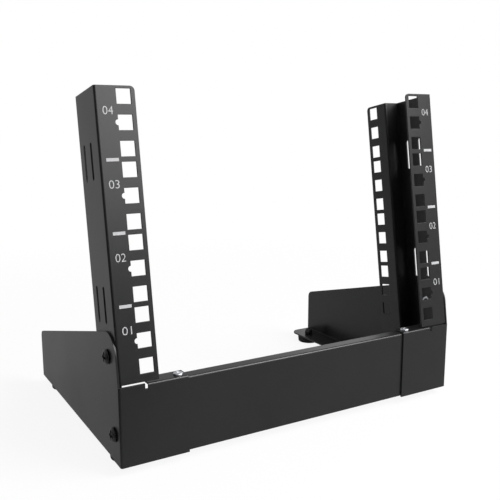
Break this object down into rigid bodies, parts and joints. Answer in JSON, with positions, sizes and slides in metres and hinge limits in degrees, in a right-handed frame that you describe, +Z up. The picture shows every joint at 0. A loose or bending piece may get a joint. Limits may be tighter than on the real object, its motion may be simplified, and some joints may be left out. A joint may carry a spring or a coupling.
{
  "type": "desktop rack frame",
  "caption": "Open desktop frame with two leaning uprights pierced by square holes, side bases, a front beam and rubber feet.",
  "frame": {"origin": "on the floor under the middle of the frame's bounding box", "axes": "+X across the frame to its right, +Y from the front to the back, +Z up"},
  "size_m": [0.282, 0.188, 0.2381],
  "materials": {
    "powder_coat": "black powder coat, fine grained satin",
    "black_steel": "black oxide",
    "zinc_plate": "bright zinc plating",
    "rubber": "matt black moulded rubber"
  },
  "bodies": {
    "root": {"front_beam": "powder_coat", "front_left_foot": "rubber", "front_left_foot_nut": "black_steel", "front_left_foot_screw": "black_steel", "front_right_foot": "rubber", "front_right_foot_nut": "black_steel", "front_right_foot_screw": "black_steel", "left_beam_screw": "zinc_plate", "left_lower_bolt": "black_steel", "left_lower_bolt_nut": "zinc_plate", "left_side_base": "powder_coat", "left_upper_bolt": "black_steel", "left_upper_bolt_nut": "zinc_plate", "left_upright": "powder_coat", "rear_left_foot": "rubber", "rear_left_foot_nut": "black_steel", "rear_left_foot_screw": "black_steel", "rear_right_foot": "rubber", "rear_right_foot_nut": "black_steel", "rear_right_foot_screw": "black_steel", "right_beam_screw": "zinc_plate", "right_lower_bolt": "black_steel", "right_lower_bolt_nut": "zinc_plate", "right_side_base": "powder_coat", "right_upper_bolt": "black_steel", "right_upper_bolt_nut": "zinc_plate", "right_upright": "powder_coat"}
  },
  "joints": []
}
